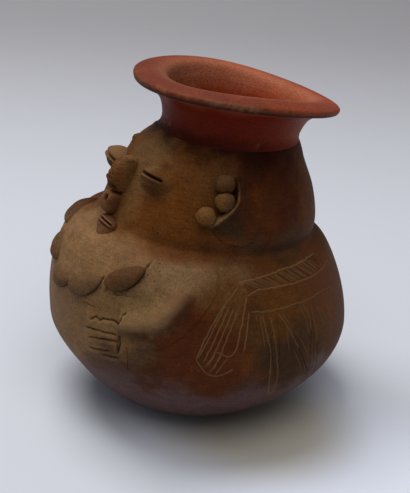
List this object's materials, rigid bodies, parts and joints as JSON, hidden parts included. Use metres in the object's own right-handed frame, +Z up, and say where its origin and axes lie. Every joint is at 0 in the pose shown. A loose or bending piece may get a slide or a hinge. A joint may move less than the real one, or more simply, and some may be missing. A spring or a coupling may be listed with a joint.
{
  "type": "effigy vase",
  "caption": "Hand-built clay vase shaped as a squat figure: round body, domed head with pressed-on face and ears, flared neck with a wide drooping rim.",
  "frame": {"origin": "middle of the flat foot, on the surface that the vase stands on", "axes": "+Z up the vase, -Y the way the figure faces, +X the figure's left side"},
  "size_m": [0.165, 0.1679, 0.1811],
  "materials": {
    "body_clay": "burnished unglazed brown clay, mottled by firing",
    "head_clay": "burnished unglazed ochre-brown clay, smoke-clouded at the back",
    "red_slip": "burnished red slip, worn at the lip",
    "pale_clay": "matt grey-brown clay pellets",
    "chest_clay": "smooth worn tan-grey clay"
  },
  "bodies": {
    "root": {"belly_bowl": "body_clay", "shoulder_wall": "body_clay", "head_dome": "head_clay", "neck_collar": "red_slip", "rim_flange": "red_slip", "left_eye": "head_clay", "right_eye": "head_clay", "nose": "head_clay", "nose_plug": "pale_clay", "mouth": "pale_clay", "left_ear_flap": "head_clay", "right_ear_flap": "head_clay", "left_ear_ball_1": "pale_clay", "left_ear_ball_2": "pale_clay", "left_ear_ball_3": "pale_clay", "right_ear_ball_1": "pale_clay", "right_ear_ball_2": "pale_clay", "right_ear_ball_3": "pale_clay", "necklace_front_pellet": "pale_clay", "necklace_left_pellet_1": "pale_clay", "necklace_right_pellet_1": "pale_clay", "necklace_left_pellet_2": "pale_clay", "necklace_right_pellet_2": "pale_clay", "left_arm": "chest_clay", "right_arm": "chest_clay", "left_hand": "chest_clay", "right_hand": "chest_clay"}
  },
  "joints": []
}
